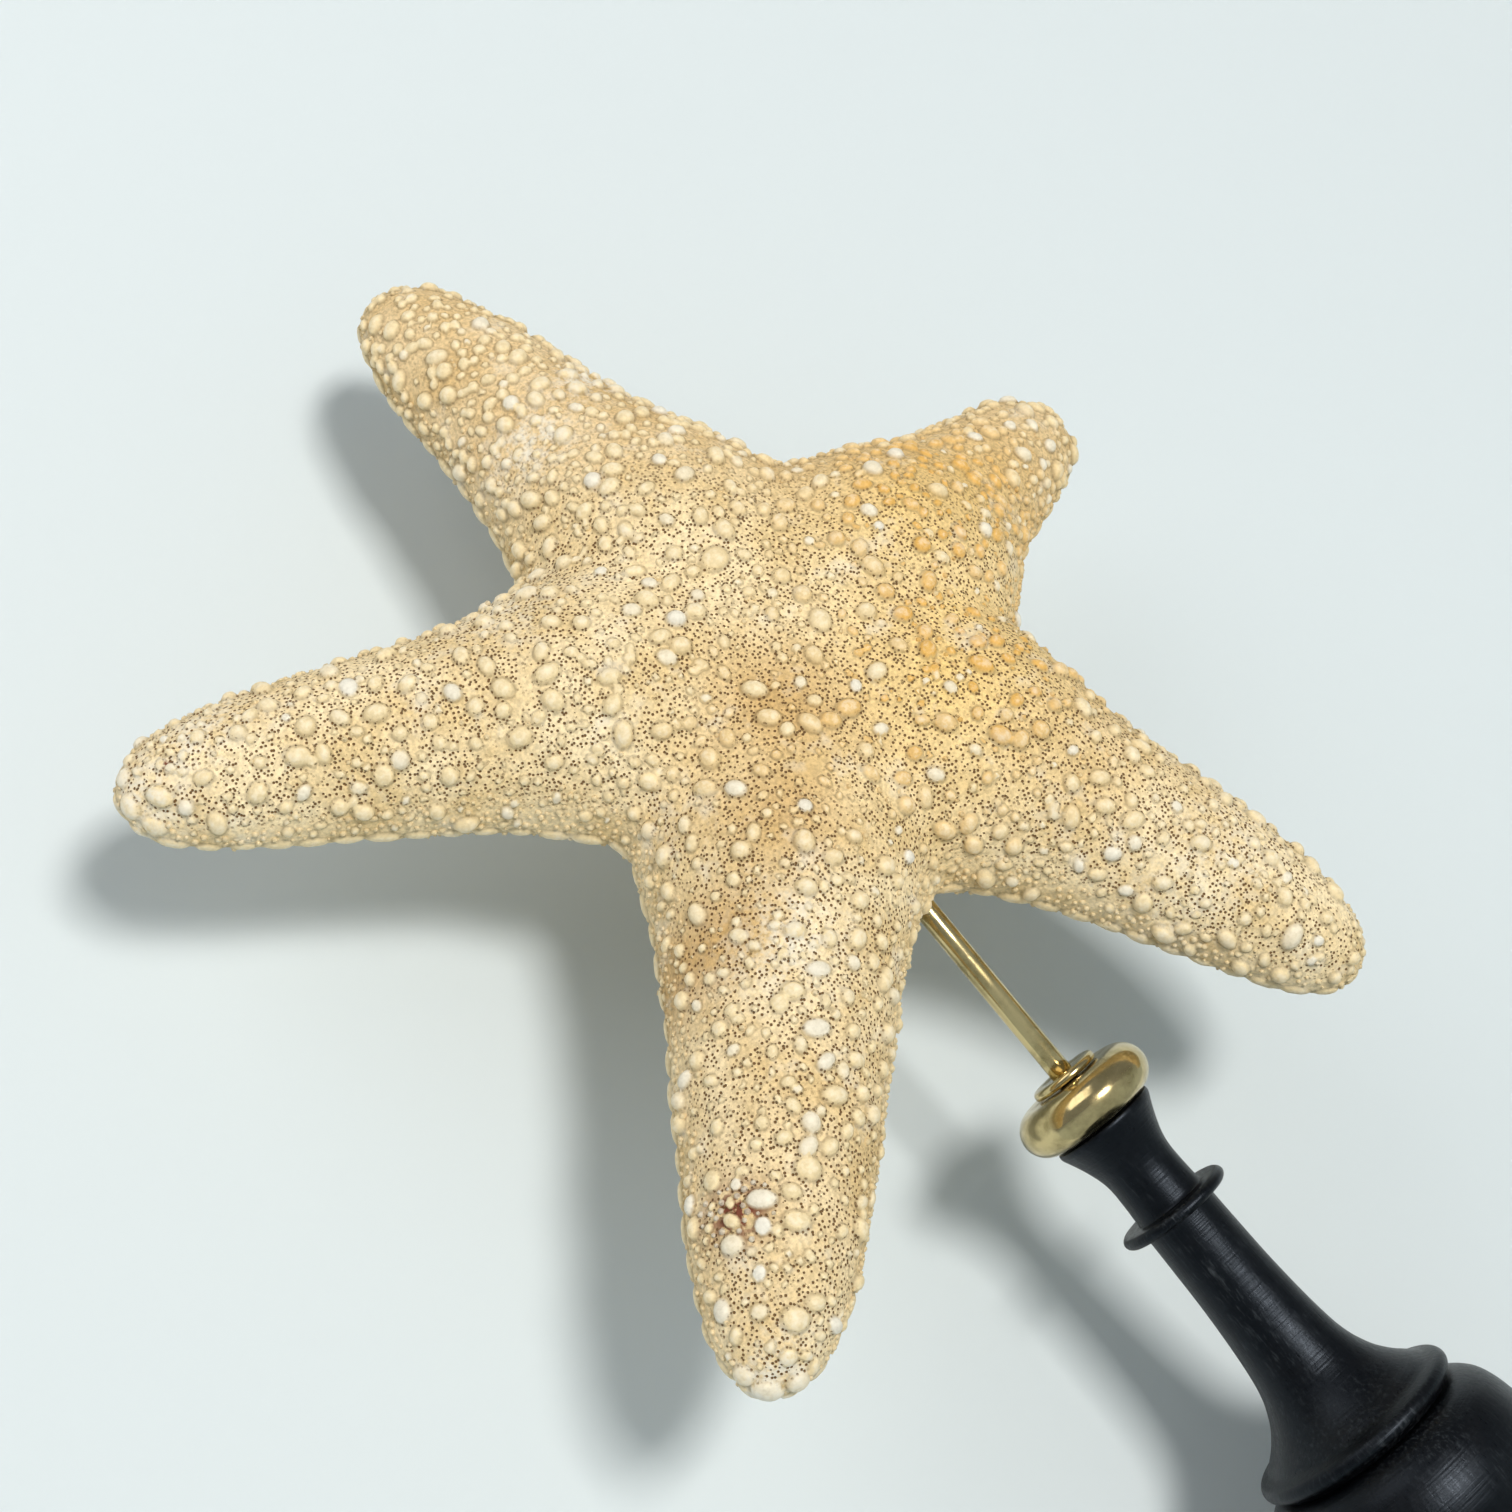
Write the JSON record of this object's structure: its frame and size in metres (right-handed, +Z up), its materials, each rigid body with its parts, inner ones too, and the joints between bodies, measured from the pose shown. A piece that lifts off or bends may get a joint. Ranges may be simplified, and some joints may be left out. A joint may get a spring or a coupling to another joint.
{
  "type": "mounted dried starfish",
  "caption": "Dried, knobbly sea star held on a brass rod above a black turned wooden stand with a brass collar.",
  "frame": {"origin": "middle of the underside of the foot, on the axis of the turned stand", "axes": "+Z up the stand's axis; the star's upper face looks towards -Y, turned towards +X and leaning back"},
  "size_m": [0.1887, 0.1326, 0.3415],
  "materials": {
    "skin": "dry limy skeleton, matte cream to tan, pitted with fine pores between smooth domed knobs",
    "brass": "polished, slightly aged",
    "ebonised_wood": "turned, stained black and waxed to a satin shine"
  },
  "bodies": {
    "root": {"starfish": "skin", "rod": "brass", "washer": "brass", "collar": "brass", "column": "ebonised_wood", "foot": "ebonised_wood"}
  },
  "joints": []
}
